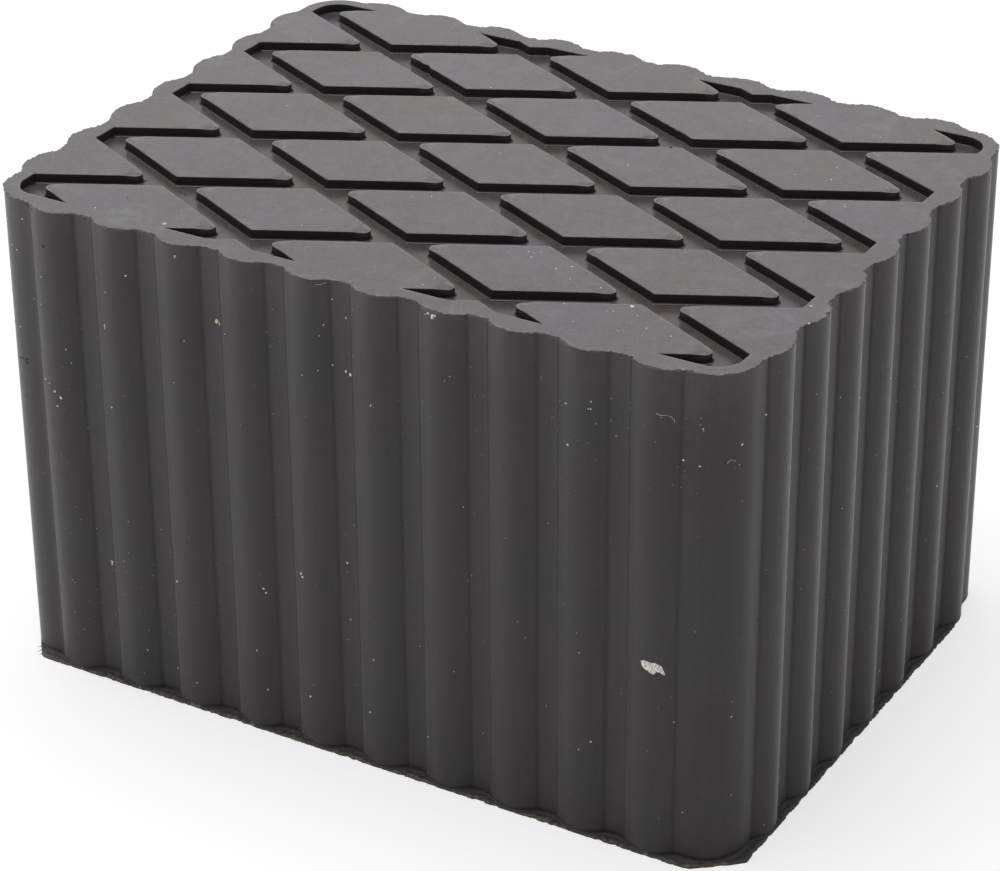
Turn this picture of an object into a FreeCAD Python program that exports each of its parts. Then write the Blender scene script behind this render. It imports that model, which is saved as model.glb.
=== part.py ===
import FreeCAD, Part
import os

import Sketcher
from FreeCAD import Vector

# Rubber pad for a lift arm: one moulded block, taller than a hand is wide.
# Round ribs run down all four sides, and a diamond tread covers the top inside a plain rim.
# A thin web of flash is left round the foot, trimmed straight across the ribs and the corners.
# Origin: middle of the underside. +X along the long side, +Z up. Millimetres.

DIMENSIONS = {
    # Block
    "overall_length": 160.0,        # over the rib crests, along X
    "overall_width": 120.0,         # over the rib crests, along Y
    "overall_height": 99.0,
    "corner_radius": 8.0,           # upright corners, between the last ribs of two sides
    # Ribs
    "rib_spacing": 14.0,
    "rib_width": 10.0,              # where a rib meets the flat side
    "rib_height": 2.0,              # how far a crest stands out
    # Tread
    "rim_wall": 3.0,                # from the flat side to the recess that the grooves lie in
    "groove_width": 4.2,            # square across a groove
    "groove_depth": 2.0,
    "diamond_spacing_long": 50.6,   # between two diamonds in a row, tip to tip
    "diamond_spacing_short": 25.3,  # between two rows of the same kind
    "diamond_tip_radius": 1.4,      # the two sharp corners of a diamond
    "diamond_side_radius": 0.5,     # the two blunt corners
    # Flash
    "flash_thickness": 0.5,
    "flash_reach": 0.4,             # past the rib crests
    "flash_corner_cut": 7.0,
}

# Worked-out sizes, as expressions on the cells above.
FLAT_LENGTH = "(dims.overall_length - 2 * dims.rib_height)"
FLAT_WIDTH = "(dims.overall_width - 2 * dims.rib_height)"
RIB_RADIUS = "((dims.rib_width / 2) ^ 2 + dims.rib_height ^ 2) / (2 * dims.rib_height)"
RECESS_LENGTH = f"({FLAT_LENGTH} - 2 * dims.rim_wall)"
RECESS_WIDTH = f"({FLAT_WIDTH} - 2 * dims.rim_wall)"
# Lattice lines run along the middles of the grooves, corner to corner through the spacings.
LATTICE_DIAGONAL = "sqrt(dims.diamond_spacing_long ^ 2 + dims.diamond_spacing_short ^ 2)"
DIAMOND_ANGLE = "atan(dims.diamond_spacing_short / dims.diamond_spacing_long)"
DIAMOND_EDGE_OFFSET = (
    f"dims.diamond_spacing_long * dims.diamond_spacing_short / (2 * {LATTICE_DIAGONAL})"
    " - dims.groove_width / 2"
)


def ribs_between_corners(flat_side):
    """Expression for how many whole ribs stand on a side between its rounded corners."""
    straight = f"({flat_side} - 2 * dims.corner_radius - dims.rib_width)"
    return f"(floor({straight} / dims.rib_spacing) + 1)"


def diamonds_from_middle(recess_side, spacing):
    """Expression for how many diamonds, the middle one included, reach the end of the recess."""
    return f"(floor(({recess_side} + {spacing}) / (2 * {spacing})) + 1)"


doc = FreeCAD.newDocument("rubber_pad")


def make_sheet():
    """The driving dimensions, one cell and one alias each."""
    sheet = doc.addObject("Spreadsheet::Sheet", "dims")
    for row, (alias, value) in enumerate(DIMENSIONS.items(), start=1):
        sheet.set(f"A{row}", alias)
        sheet.set(f"B{row}", str(value))
        sheet.setAlias(f"B{row}", alias)
    doc.recompute()


def origin_feature(body, role):
    """An origin plane or axis of a body."""
    return next(item for item in body.Origin.OriginFeatures if item.Role == role)


def add_sketch(body, name, height=None):
    """A sketch parallel to the body's XY plane, at a height given as an expression."""
    sketch = body.newObject("Sketcher::SketchObject", name)
    sketch.AttachmentSupport = [(origin_feature(body, "XY_Plane"), "")]
    sketch.MapMode = "FlatFace"
    if height:
        sketch.setExpression("AttachmentOffset.Base.z", height)
    return sketch


def bind(sketch, name, constraint, expression):
    """Adds a dimension to a sketch and ties it to an expression."""
    index = sketch.addConstraint(constraint)
    sketch.renameConstraint(index, name)
    sketch.setExpression(f"Constraints.{name}", expression)


def draw_rectangle(sketch, length, width):
    """A rectangle centred on the sketch's origin."""
    corners = [Vector(-50, -30), Vector(50, -30), Vector(50, 30), Vector(-50, 30)]
    front, right, back, left = (
        sketch.addGeometry(Part.LineSegment(corner, corners[(index + 1) % 4]))
        for index, corner in enumerate(corners)
    )
    for line, following in ((front, right), (right, back), (back, left), (left, front)):
        sketch.addConstraint(Sketcher.Constraint("Coincident", line, 2, following, 1))
    for line in (front, back):
        sketch.addConstraint(Sketcher.Constraint("Horizontal", line))
    for line in (right, left):
        sketch.addConstraint(Sketcher.Constraint("Vertical", line))
    sketch.addConstraint(Sketcher.Constraint("Symmetric", front, 1, back, 1, -1, 1))
    bind(sketch, "length", Sketcher.Constraint("DistanceX", left, 1, right, 1, 100), length)
    bind(sketch, "width", Sketcher.Constraint("DistanceY", front, 1, back, 1, 60), width)


def draw_rounded_outline(sketch, spans, corner_middles):
    """Four straight edges, anticlockwise, joined by arcs that run on from them smoothly."""
    edges = [sketch.addGeometry(Part.LineSegment(start, end)) for start, end in spans]
    corners = [
        sketch.addGeometry(Part.Arc(spans[index][1], middle, spans[(index + 1) % 4][0]))
        for index, middle in enumerate(corner_middles)
    ]
    for index, corner in enumerate(corners):
        sketch.addConstraint(Sketcher.Constraint("Tangent", edges[index], 2, corner, 1))
        sketch.addConstraint(Sketcher.Constraint("Tangent", corner, 2, edges[(index + 1) % 4], 1))
    return edges, corners


def draw_rounded_rectangle(sketch, length, width, radius):
    """A rectangle with rounded corners, centred on the sketch's origin."""
    spans = [
        (Vector(-40, -30), Vector(40, -30)),
        (Vector(50, -20), Vector(50, 20)),
        (Vector(40, 30), Vector(-40, 30)),
        (Vector(-50, 20), Vector(-50, -20)),
    ]
    middles = (Vector(47, -27), Vector(47, 27), Vector(-47, 27), Vector(-47, -27))
    (front, right, back, left), corners = draw_rounded_outline(sketch, spans, middles)
    for line in (front, back):
        sketch.addConstraint(Sketcher.Constraint("Horizontal", line))
    for line in (right, left):
        sketch.addConstraint(Sketcher.Constraint("Vertical", line))
    for corner in corners[1:]:
        sketch.addConstraint(Sketcher.Constraint("Equal", corners[0], corner))
    sketch.addConstraint(Sketcher.Constraint("Symmetric", corners[0], 3, corners[2], 3, -1, 1))
    bind(sketch, "length", Sketcher.Constraint("DistanceX", left, 1, right, 1, 100), length)
    bind(sketch, "width", Sketcher.Constraint("DistanceY", front, 1, back, 1, 60), width)
    bind(sketch, "corner_radius", Sketcher.Constraint("Radius", corners[0], 10), radius)


def draw_circle(sketch, radius, across, along):
    """A circle whose centre lies right of the sketch's origin and behind it."""
    circle = sketch.addGeometry(Part.Circle(Vector(40, 30), Vector(0, 0, 1), 7))
    bind(sketch, "radius", Sketcher.Constraint("Radius", circle, 7), radius)
    bind(sketch, "across", Sketcher.Constraint("DistanceX", -1, 1, circle, 3, 40), across)
    bind(sketch, "along", Sketcher.Constraint("DistanceY", -1, 1, circle, 3, 30), along)


def pad(body, name, sketch, length, downwards=False):
    feature = body.newObject("PartDesign::Pad", name)
    feature.Profile = sketch
    feature.Reversed = downwards
    feature.setExpression("Length", length)
    doc.recompute()
    return feature


def cut_corners(body, name, base, size):
    """Cuts the upright edges of a plate off at 45 degrees."""
    upright = [
        f"Edge{index}" for index, edge in enumerate(base.Shape.Edges, start=1)
        if edge.tangentAt(edge.FirstParameter).isParallel(Vector(0, 0, 1), 0.01)
    ]
    chamfer = body.newObject("PartDesign::Chamfer", name)
    chamfer.Base = (base, upright)
    chamfer.setExpression("Size", size)
    doc.recompute()


def add_row(body, name, axis, count, spacing, backwards=False):
    """A row of copies along an axis of the body."""
    row = body.newObject("PartDesign::LinearPattern", name)
    row.Direction = (origin_feature(body, axis), [""])
    row.Reversed = backwards
    row.Mode = "Spacing"
    row.setExpression("Offset", spacing)
    row.setExpression("Occurrences", count)
    return row


def add_mirror(body, name, plane):
    mirror = body.newObject("PartDesign::Mirrored", name)
    mirror.MirrorPlane = (origin_feature(body, plane), [""])
    return mirror


def repeat(body, name, originals, steps):
    """Copies features by a pattern and then by mirrors."""
    feature = body.newObject("PartDesign::MultiTransform", name)
    feature.Originals = originals
    feature.Transformations = steps
    body.Tip = feature
    doc.recompute()
    return feature


def add_ribs(body, side, axis, plane, across, along, count):
    """One rib at the end of a side, the row along that side, and the same on the opposite side.

    A rib is a round bar sunk into the side, so that its section there is a low arc.
    """
    section = add_sketch(body, f"{side}_rib_section")
    draw_circle(section, RIB_RADIUS, across, along)
    rib = pad(body, f"{side}_rib", section, "dims.overall_height")
    row = add_row(body, f"{side}_rib_row", axis, count, "dims.rib_spacing", backwards=True)
    opposite = add_mirror(body, f"{side}_ribs_opposite", plane)
    return repeat(body, f"{side}_ribs", [rib], [row, opposite])


def make_block():
    """The block without its tread: flash, core and ribs."""
    body = doc.addObject("PartDesign::Body", "block")

    trim_line = add_sketch(body, "trim_line")
    reach = "2 * dims.flash_reach"
    draw_rectangle(trim_line, f"dims.overall_length + {reach}", f"dims.overall_width + {reach}")
    flash = pad(body, "flash", trim_line, "dims.flash_thickness")
    cut_corners(body, "flash_corners", flash, "dims.flash_corner_cut")

    core_outline = add_sketch(body, "core_outline")
    draw_rounded_rectangle(core_outline, FLAT_LENGTH, FLAT_WIDTH, "dims.corner_radius")
    pad(body, "core", core_outline, "dims.overall_height")

    long_count = ribs_between_corners(FLAT_LENGTH)
    add_ribs(body, "long_side", "X_Axis", "XZ_Plane",
             across=f"({long_count} - 1) / 2 * dims.rib_spacing",
             along=f"dims.overall_width / 2 - {RIB_RADIUS}",
             count=long_count)
    short_count = ribs_between_corners(FLAT_WIDTH)
    add_ribs(body, "short_side", "Y_Axis", "YZ_Plane",
             across=f"dims.overall_length / 2 - {RIB_RADIUS}",
             along=f"({short_count} - 1) / 2 * dims.rib_spacing",
             count=short_count)
    return body


def draw_diamond(sketch):
    """A diamond with rounded corners, its edges half a groove inside the lattice lines."""
    spans = [
        (Vector(19, 0.5), Vector(1, 9.5)),
        (Vector(-1, 9.5), Vector(-19, 0.5)),
        (Vector(-19, -0.5), Vector(-1, -9.5)),
        (Vector(1, -9.5), Vector(19, -0.5)),
    ]
    middles = (Vector(0, 9.9), Vector(-19.4, 0), Vector(0, -9.9), Vector(19.4, 0))
    edges, (back, left, front, right) = draw_rounded_outline(sketch, spans, middles)
    for corner, opposite, axis in ((back, front, -2), (right, left, -1)):
        sketch.addConstraint(Sketcher.Constraint("Equal", corner, opposite))
        sketch.addConstraint(Sketcher.Constraint("PointOnObject", corner, 3, axis))
        sketch.addConstraint(Sketcher.Constraint("Symmetric", corner, 3, opposite, 3, -1, 1))
    bind(sketch, "side_radius", Sketcher.Constraint("Radius", back, 0.5), "dims.diamond_side_radius")
    bind(sketch, "tip_radius", Sketcher.Constraint("Radius", right, 1.5), "dims.diamond_tip_radius")
    bind(sketch, "slant", Sketcher.Constraint("Angle", edges[3], 0.46), DIAMOND_ANGLE)
    bind(sketch, "inset", Sketcher.Constraint("Distance", -1, 1, edges[3], 9.2), DIAMOND_EDGE_OFFSET)


def add_diamond(body, name, shift_x=None, shift_y=None):
    """One diamond left standing between the grooves, at the middle or shifted from it."""
    outline = add_sketch(body, f"{name}_outline", "dims.overall_height")
    draw_diamond(outline)
    for axis, shift in (("x", shift_x), ("y", shift_y)):
        if shift:
            outline.setExpression(f"AttachmentOffset.Base.{axis}", shift)
    diamond = body.newObject("PartDesign::Pocket", name)
    diamond.Profile = outline
    diamond.setExpression("Length", "dims.groove_depth")
    doc.recompute()
    return diamond


def make_grooves():
    """The space of all grooves as one solid: the recess inside the rim, less the diamonds."""
    body = doc.addObject("PartDesign::Body", "grooves")
    recess_outline = add_sketch(body, "recess_outline", "dims.overall_height")
    recess_radius = "dims.corner_radius - dims.rim_wall"
    draw_rounded_rectangle(recess_outline, RECESS_LENGTH, RECESS_WIDTH, recess_radius)
    pad(body, "recess", recess_outline, "dims.groove_depth", downwards=True)

    middle = add_diamond(body, "middle_diamond")
    between = add_diamond(body, "between_diamond",
                          "dims.diamond_spacing_long / 2", "dims.diamond_spacing_short / 2")
    columns = add_row(body, "diamond_columns", "X_Axis",
                      diamonds_from_middle(RECESS_LENGTH, "dims.diamond_spacing_long"),
                      "dims.diamond_spacing_long")
    rows = add_row(body, "diamond_rows", "Y_Axis",
                   diamonds_from_middle(RECESS_WIDTH, "dims.diamond_spacing_short"),
                   "dims.diamond_spacing_short")
    to_left = add_mirror(body, "diamonds_to_left", "YZ_Plane")
    to_front = add_mirror(body, "diamonds_to_front", "XZ_Plane")
    repeat(body, "diamonds", [middle, between], [columns, rows, to_left, to_front])
    return body


def check_and_export(subparts):
    """Stops on any failed object, then writes one file for each sub-part."""
    for item in doc.Objects:
        if "Invalid" in item.State or "Error" in item.State:
            raise RuntimeError(f"{item.Name} failed: {item.State}")
    os.makedirs("parts", exist_ok=True)
    for subpart in subparts:
        if subpart.Shape.isNull() or not subpart.Shape.isValid():
            raise RuntimeError(f"{subpart.Label} has no sound shape")
        subpart.Shape.exportStep(f"parts/{subpart.Label}.step")
        print(subpart.Label, "volume", round(subpart.Shape.Volume), "mm3")


make_sheet()
rubber_pad = doc.addObject("Part::Cut", "rubber_pad")
rubber_pad.Label = "rubber_pad"
rubber_pad.Base = make_block()
rubber_pad.Tool = make_grooves()
rubber_pad.Placement = FreeCAD.Placement()
doc.recompute()
check_and_export([rubber_pad])
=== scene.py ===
import math

import bmesh
import bpy
import numpy as np
from mathutils import Matrix, Vector, noise
from mathutils.geometry import delaunay_2d_cdt


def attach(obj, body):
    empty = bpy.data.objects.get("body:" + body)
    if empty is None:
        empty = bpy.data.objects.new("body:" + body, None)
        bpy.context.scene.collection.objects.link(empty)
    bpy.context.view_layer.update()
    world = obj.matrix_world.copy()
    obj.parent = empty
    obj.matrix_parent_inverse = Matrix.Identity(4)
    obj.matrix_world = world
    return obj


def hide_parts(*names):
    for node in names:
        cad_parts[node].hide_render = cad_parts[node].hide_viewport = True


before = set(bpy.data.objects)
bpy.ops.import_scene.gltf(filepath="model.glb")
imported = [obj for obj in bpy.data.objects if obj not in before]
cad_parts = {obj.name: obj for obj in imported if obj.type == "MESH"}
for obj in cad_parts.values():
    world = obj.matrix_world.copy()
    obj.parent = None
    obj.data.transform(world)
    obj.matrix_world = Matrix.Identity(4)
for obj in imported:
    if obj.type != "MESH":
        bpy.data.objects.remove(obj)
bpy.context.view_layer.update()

# Rubber block with ribbed sides and a diamond tread. Lengths here are in millimetres,
# and become metres when the mesh is made. +X runs along the long side.
MM = 0.001

# Block
HALF_LENGTH, HALF_WIDTH = 78.0, 58.0        # to the flats between the ribs
TOP = 98.95                                 # just under the solid's 99, as crumbs lie on it
CORNER_RADIUS = 8.0
CORNER_POINTS = 30
RIB_SPACING, RIB_WIDTH, RIB_HEIGHT = 14.0, 10.0, 2.0
RIBS_LONG, RIBS_SHORT = 10, 7
VALLEY_SOFTNESS = 0.4                       # rounds the valley beside a rib
# Distances from the middle of a rib at which the outline has a point, to half the spacing
RIB_POINTS = [
    0.0, 0.45, 0.9, 1.35, 1.8, 2.25, 2.7, 3.1, 3.5, 3.85, 4.15, 4.45, 4.7, 4.88,
    5.0, 5.12, 5.3, 5.6, 5.95, 6.3, 6.65, 7.0,
]
CLOSEST_POINTS = 0.05
CREASE_PLACE, CREASE_WIDTH = 4.90, 0.32     # of the crease at a rib's foot, from its middle
# A rib's left foot where the crease is at least this strong gets a painted shade line
SHADE_LINE_FROM = 0.5                        # of the crease's strength
# Tread
RECESS_HALF = (75.0, 55.0)
RECESS_RADIUS = 5.0
RECESS_POINTS = 12                          # in each corner
HALF_PITCH = (25.3, 12.65)
LATTICE_SHIFT = (-0.35, 0.38)               # off the middle, as on the real block
GROOVE_WIDTH = 4.2
TIP_RADIUS, SIDE_RADIUS = 1.4, 0.5
TIP_POINTS, SIDE_POINTS = 14, 6
SMALLEST_RADIUS = 0.01
EDGE_STEP = 0.8                             # longest segment of a groove's outline
ON_EDGE, SAME_POINT = 0.002, 1e-5           # tolerances of the tread's triangles
# Offset from a groove's edge into the groove, and the depth there
GROOVE_PROFILE = [
    (-0.85, 0.0), (-0.40, 0.0), (-0.14, 0.01), (-0.05, 0.045), (0.0, 0.15),
    (0.05, 1.5), (0.12, 1.76), (0.26, 1.92), (0.46, 1.985), (0.60, 1.97), (0.80, 2.0),
]
OFFSETS, DEPTHS = zip(*GROOVE_PROFILE)
# Bevel at a diamond's tips: the depth, how far before the tip's centre it starts and the length
# over which it grows, and how far in from the edge it ends and the width over which it falls
TIP_BEVEL, BEVEL_START, BEVEL_GROWTH = 0.24, 1.6, 2.0
BEVEL_END, BEVEL_FALL = 0.85, 0.6
PAD_MARGIN = 0.03
# Inset from the side into the rim, and the depth there
RIM_PROFILE = [(0.0, 0.13), (0.02, 0.05), (0.08, 0.0)]
# Flash round the foot, trimmed to half-planes: a direction and the distance in that direction
FLASH_SIZE = (80.36, 60.38)
FLASH_TRIM = [
    (0.636, -0.7715, 92.3), (0.9685, 0.2487, 87.75), (0.82, 0.572, 94.2), (-0.707, 0.707, 93.4),
    (-0.92, -0.392, 92.6), (-0.784, -0.621, 94.05), (-0.655, -0.756, 92.7),
    (1, 0, FLASH_SIZE[0]), (-1, 0, FLASH_SIZE[0]), (0, 1, FLASH_SIZE[1]), (0, -1, FLASH_SIZE[1]),
]
FACING = 0.3                                # how squarely a cut has to face the side to act on it
LEAST_FLASH = 0.05
# The mesh's "groove" value is the distance into the nearest groove, up to this either way. On the
# sides it lies below that by the strength of the crease, and the trimmed rim has its own value.
GROOVE_LIMIT, RIM_GROOVE = 3.0, -0.22
# Materials of the block, by index. The groove walls, the crease line, the pits and the nick are
# painted shade.
RUBBER, PAINT, TORN, TAN, HOLLOW_SHADE, DUST, SHADED_WALL, CREASE = range(8)


def bumps(points, size, seed):
    """Smooth noise at points, about -1 to 1, with hills of the given size."""
    shift = Vector((seed * 17.3, seed * 5.1, seed * 9.7))
    return np.array([noise.noise(Vector(p) / size + shift) for p in points])


def as_3d(plan, z=0.0):
    return np.c_[plan, np.full(len(plan), z)]


# Plan of the block

def rib_profile(s):
    """How far the side stands out at a distance s from the middle of a rib."""
    radius = ((RIB_WIDTH / 2) ** 2 + RIB_HEIGHT ** 2) / (2 * RIB_HEIGHT)
    arc = np.sqrt(np.maximum(radius ** 2 - s ** 2, 0.0)) - (radius - RIB_HEIGHT)
    return 0.5 * (arc + np.sqrt(arc ** 2 + VALLEY_SOFTNESS ** 2))


def side_samples(rib_count):
    """Distances along a side, finer where a rib meets the flat, and the profile there."""
    half = np.array(RIB_POINTS)
    steps = np.r_[-half[:0:-1], half]
    s, out = [], []
    for rib in range(rib_count):
        middle = (rib - (rib_count - 1) / 2) * RIB_SPACING
        part = steps if rib == 0 else steps[1:]
        s.extend(middle + part)
        out.extend(rib_profile(part))
    return np.array(s), np.array(out)


def across_rib(s, rib_count):
    """Distance past the middle of the nearest rib, at a distance s along a side."""
    return ((s / RIB_SPACING + (rib_count + 1) % 2 / 2 + 0.5) % 1 - 0.5) * RIB_SPACING


def block_outline():
    """The ribbed outline, anticlockwise from the right side.

    Gives the points, the way out, how much each lies in the crease at the foot of a rib, and
    whether it is on the painted shade line there.
    """
    points, ways, creases, shade_lined = [], [], [], []
    turns = [
        (RIBS_SHORT, HALF_LENGTH, (1, 0), (0, 1)),
        (RIBS_LONG, HALF_WIDTH, (0, 1), (-1, 0)),
        (RIBS_SHORT, HALF_LENGTH, (-1, 0), (0, -1)),
        (RIBS_LONG, HALF_WIDTH, (0, -1), (1, 0)),
    ]
    corner_middle = np.array([HALF_LENGTH, HALF_WIDTH]) - CORNER_RADIUS
    for ribs, half, outward, along in turns:
        outward, along = np.array(outward, float), np.array(along, float)
        for s, out in zip(*side_samples(ribs)):
            points.append(outward * (half + out) + along * s)
            ways.append(outward)
            across = across_rib(s, ribs)
            creases.append(math.exp(-((abs(across) - CREASE_PLACE) / CREASE_WIDTH) ** 2))
            shade_lined.append(across < 0 and creases[-1] > SHADE_LINE_FROM)
        centre = (outward + along) * corner_middle
        for angle in np.linspace(0, math.pi / 2, CORNER_POINTS):
            way = outward * math.cos(angle) + along * math.sin(angle)
            points.append(centre + way * CORNER_RADIUS)
            ways.append(way)
            creases.append(0.0)
            shade_lined.append(False)
    keep = [0]
    for k in range(1, len(points)):
        if np.hypot(*(points[k] - points[keep[-1]])) > CLOSEST_POINTS:
            keep.append(k)
    return [np.array(values)[keep] for values in (points, ways, creases, shade_lined)]


def mitred_normals(points):
    """Outward directions at the points of a closed anticlockwise outline."""
    edge = np.roll(points, -1, axis=0) - points
    edge_normal = np.c_[edge[:, 1], -edge[:, 0]] / np.hypot(edge[:, 0], edge[:, 1])[:, None]
    both = edge_normal + np.roll(edge_normal, 1, axis=0)
    return both / np.maximum((both ** 2).sum(axis=1), 1.0)[:, None] * 2


OUTLINE, WAYS, CREASES, SHADE_LINED = block_outline()
NORMALS = mitred_normals(OUTLINE)

# Plan of the tread

SLANT = math.hypot(*HALF_PITCH)
INSET = HALF_PITCH[0] * HALF_PITCH[1] / SLANT - GROOVE_WIDTH / 2
EDGE_NORMAL = np.array([HALF_PITCH[1], HALF_PITCH[0]]) / SLANT
EDGE_WAY = np.array([-HALF_PITCH[0], HALF_PITCH[1]]) / SLANT
TIP_CENTRE = np.array([(INSET - TIP_RADIUS) / EDGE_NORMAL[0], 0.0])
SIDE_CENTRE = np.array([0.0, (INSET - SIDE_RADIUS) / EDGE_NORMAL[1]])
DIAMONDS = [
    np.array([i * HALF_PITCH[0], j * HALF_PITCH[1]]) + LATTICE_SHIFT
    for i in range(-3, 4) for j in range(-5, 6)
    if (i + j) % 2 == 0 and not (abs(i) == 3 and abs(j) == 5)
]


def recess_distance(p):
    """Distance to the recess's edge, positive inside the recess."""
    q = np.abs(p) - (np.array(RECESS_HALF) - RECESS_RADIUS)
    outside = np.hypot(np.maximum(q[:, 0], 0), np.maximum(q[:, 1], 0))
    return RECESS_RADIUS - outside - np.minimum(np.maximum(q[:, 0], q[:, 1]), 0)


def diamond_distance(p):
    """Distance outside the edge of a diamond at the origin, negative inside it."""
    q = np.abs(p)
    along = q @ EDGE_WAY
    tip = np.hypot(*(q - TIP_CENTRE).T) - TIP_RADIUS
    side = np.hypot(*(q - SIDE_CENTRE).T) - SIDE_RADIUS
    result = np.where(along < TIP_CENTRE @ EDGE_WAY, tip, q @ EDGE_NORMAL - INSET)
    return np.where(along > SIDE_CENTRE @ EDGE_WAY, side, result)


def groove_distance(p):
    """Distance to the nearest groove edge, positive inside a groove."""
    distance = recess_distance(p)
    for centre in DIAMONDS:
        distance = np.minimum(distance, diamond_distance(p - centre))
    return distance


def tread_depth(p):
    """Depth of the tread below the top, with the tips of the diamonds a little bevelled."""
    distance = groove_distance(p)
    near_tip = np.zeros(len(p))
    for centre in DIAMONDS:
        q = np.abs(p - centre)
        beyond = np.clip((q[:, 0] - TIP_CENTRE[0] + BEVEL_START) / BEVEL_GROWTH, 0, 1)
        on_pad = diamond_distance(p - centre) < PAD_MARGIN
        near_tip = np.maximum(near_tip, np.where(on_pad, beyond, 0))
    bevel = TIP_BEVEL * near_tip * np.clip((distance + BEVEL_END) / BEVEL_FALL, 0, 1)
    return np.maximum(np.interp(distance, OFFSETS, DEPTHS), bevel)


def arc_points(centre, radius, start, end, count):
    return [centre + radius * np.array([math.cos(a), math.sin(a)])
            for a in np.linspace(start, end, count)]


def diamond_loop(offset):
    """A diamond's outline moved outwards by an offset."""
    lean = math.atan2(EDGE_NORMAL[1], EDGE_NORMAL[0])
    corners = [
        (TIP_CENTRE, TIP_RADIUS, -lean, lean, TIP_POINTS),
        (SIDE_CENTRE, SIDE_RADIUS, lean, math.pi - lean, SIDE_POINTS),
        (-TIP_CENTRE, TIP_RADIUS, math.pi - lean, math.pi + lean, TIP_POINTS),
        (-SIDE_CENTRE, SIDE_RADIUS, math.pi + lean, 2 * math.pi - lean, SIDE_POINTS),
    ]
    loop = []
    for centre, radius, start, end, count in corners:
        loop.extend(arc_points(centre, max(radius + offset, SMALLEST_RADIUS),
                               start, end, count))
    return np.array(loop)


def recess_loop(offset):
    """The recess's outline moved inwards by an offset."""
    x, y = np.array(RECESS_HALF) - RECESS_RADIUS
    loop = []
    for turn, centre in enumerate([(x, y), (-x, y), (-x, -y), (x, -y)]):
        start = turn * math.pi / 2
        loop.extend(arc_points(np.array(centre), RECESS_RADIUS - offset,
                               start, start + math.pi / 2, RECESS_POINTS))
    return np.array(loop)


def subdivide(loop, step):
    """Adds points so that no segment of a closed loop is longer than the step."""
    out = []
    for a, b in zip(loop, np.roll(loop, -1, axis=0)):
        count = max(1, math.ceil(np.hypot(*(b - a)) / step))
        out.extend(a + (b - a) * k / count for k in range(count))
    return np.array(out)


def inside(point, ring):
    """True if a point lies inside a closed outline."""
    a, b = ring, np.roll(ring, -1, axis=0)
    spans = (a[:, 1] > point[1]) != (b[:, 1] > point[1])
    a, b = a[spans], b[spans]
    x = a[:, 0] + (point[1] - a[:, 1]) / (b[:, 1] - a[:, 1]) * (b[:, 0] - a[:, 0])
    return (x > point[0]).sum() % 2 == 1


def fill(ring, points, edges):
    """Triangles inside a ring through more points and edges: plan points and faces."""
    made, _, faces, origins, _, _ = delaunay_2d_cdt(points, edges, [], 0, SAME_POINT)
    plan = np.array([tuple(p) for p in made])
    on_ring = np.array([any(k < len(ring) for k in origin) for origin in origins])
    faces = [f for f in faces if not on_ring[list(f)].all() or inside(plan[list(f)].mean(0), ring)]
    return plan, faces


def tread_triangles(ring):
    """Triangles of the top inside a ring, along every groove's profile."""
    points = [Vector(p) for p in ring]
    edges = [(k, (k + 1) % len(ring)) for k in range(len(ring))]
    for offset in OFFSETS:
        loops = [subdivide(recess_loop(offset), EDGE_STEP)]
        loops += [subdivide(diamond_loop(offset), EDGE_STEP) + centre for centre in DIAMONDS]
        for loop in loops:
            on_edge = np.abs(groove_distance(loop) - offset) < ON_EDGE
            start = len(points)
            points.extend(Vector(p) for p in loop)
            for k in range(len(loop)):
                following = (k + 1) % len(loop)
                if on_edge[k] or on_edge[following]:
                    edges.append((start + k, start + following))
    used = sorted({k for edge in edges for k in edge})
    place = {old: new for new, old in enumerate(used)}
    return fill(ring, [points[k] for k in used], [(place[a], place[b]) for a, b in edges])


# Wear of the edges: places, their size, and how far the edge has moved there

RIM_MARKS = [
    ((-77.3, -54.2), 2.5, 0.25), ((-73.6, -58.0), 0.9, -0.4), ((-68.6, -58.0), 1.0, 0.2),
    ((-60.5, -58.5), 0.8, -0.35), ((-51.0, -58.5), 0.7, 0.2), ((-46.5, -58.3), 1.0, -0.3),
    ((-77.0, 57.0), 28.0, -0.35), ((-45.0, 59.0), 20.0, -0.2), ((20.0, -60.0), 1.2, -0.35),
    ((-80.0, 12.0), 34.0, -0.36), ((-80.0, 9.0), 2.0, -0.4), ((-77.0, 57.0), 14.0, -0.5),
    ((19.0, -60.0), 0.6, 0.4), ((4.0, -59.0), 0.8, -0.25), ((75.5, -56.5), 1.5, -0.2),
]
# Waves of the rim: the height, the size and the seed
RIM_WAVES = [(0.16, 4.5, 1), (0.22, 1.9, 2), (0.26, 0.8, 3), (0.38, 0.45, 9)]
NOTCH_SIZE, NOTCH_FROM, NOTCH_LIMIT, NOTCH_DEPTH = 2.3, 0.30, 0.25, 1.4
RIM_LIMIT = 0.36                            # keeps the rim inside the solid's box
SLIGHT_WEAR = 0.05
RAGGED_EDGES = [((19.5, 31.5), 6.0, 0.30), ((-38.0, 35.0), 2.0, 0.7), ((-7.0, -41.0), 3.0, 0.2)]


def closeness(points, centre, size):
    """1 at a place in the plan, and falling smoothly with the distance from it."""
    return np.exp(-(np.hypot(*(points[:, :2] - centre).T) / size) ** 2)


def rim_wear(points):
    """How far the roughly trimmed top edge stands out (in where negative)."""
    wave = sum(height * bumps(points, size, seed) for height, size, seed in RIM_WAVES)
    wave -= NOTCH_DEPTH * np.clip(bumps(points, NOTCH_SIZE, 4) - NOTCH_FROM, 0, NOTCH_LIMIT)
    for centre, size, shift in RIM_MARKS:
        wave += shift * closeness(points, centre, size)
    return np.minimum(wave, RIM_LIMIT)


def edge_wear(points):
    """Sideways shift of the pad edges: slight everywhere, more where they are torn."""
    amount = np.full(len(points), SLIGHT_WEAR)
    for centre, size, more in RAGGED_EDGES:
        amount += more * closeness(points, centre, size)
    x, y = (bumps(points, 1.7, seed) + 0.6 * bumps(points, 0.7, seed + 1) for seed in (5, 7))
    return np.c_[x * amount, y * amount]


# The block's mesh

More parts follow.
